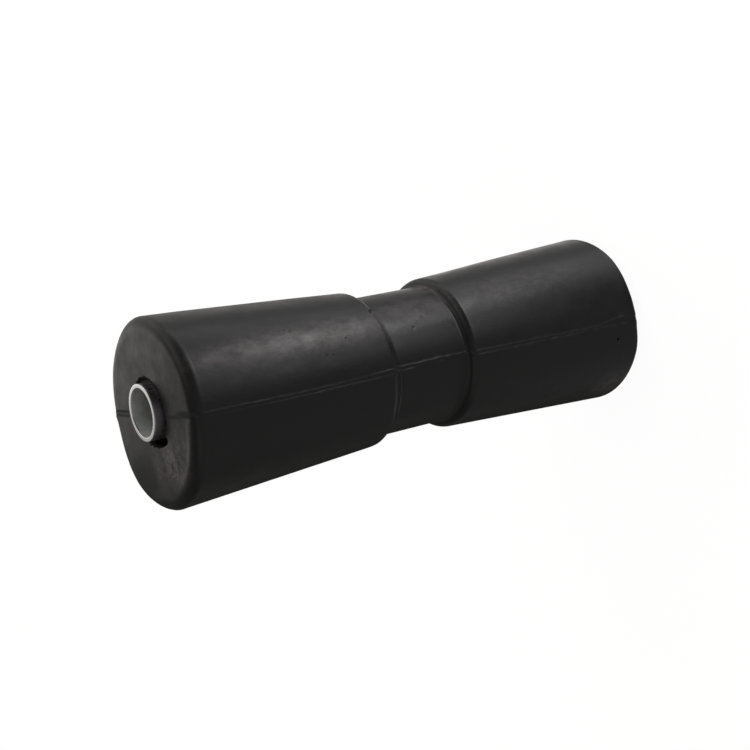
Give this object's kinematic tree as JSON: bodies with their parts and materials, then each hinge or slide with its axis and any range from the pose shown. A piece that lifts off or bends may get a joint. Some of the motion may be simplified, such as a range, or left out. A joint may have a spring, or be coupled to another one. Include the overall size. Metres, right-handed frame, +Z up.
{
  "type": "boat trailer keel roller",
  "caption": "Bow-tie rubber roller on a steel tube, with a plain stepped waist. It turns on a shaft across a boat trailer's frame and carries the keel.",
  "frame": {"origin": "on the axis of the rubber's outline, level with the tube's lower end, so the roller stands on end at z = 0", "axes": "+Z up along the axis the roller turns about; the mould's parting line runs up +X and -X; the tube sits 1.4 mm off the middle towards +Y"},
  "size_m": [0.0672, 0.0668, 0.206],
  "materials": {
    "black_rubber": "moulded black rubber, half gloss, with flash along its parting line",
    "plated_steel": "zinc plated steel tube with bright cut ends"
  },
  "bodies": {
    "root": {"rubber_roller": "black_rubber", "steel_tube": "plated_steel"}
  },
  "joints": []
}
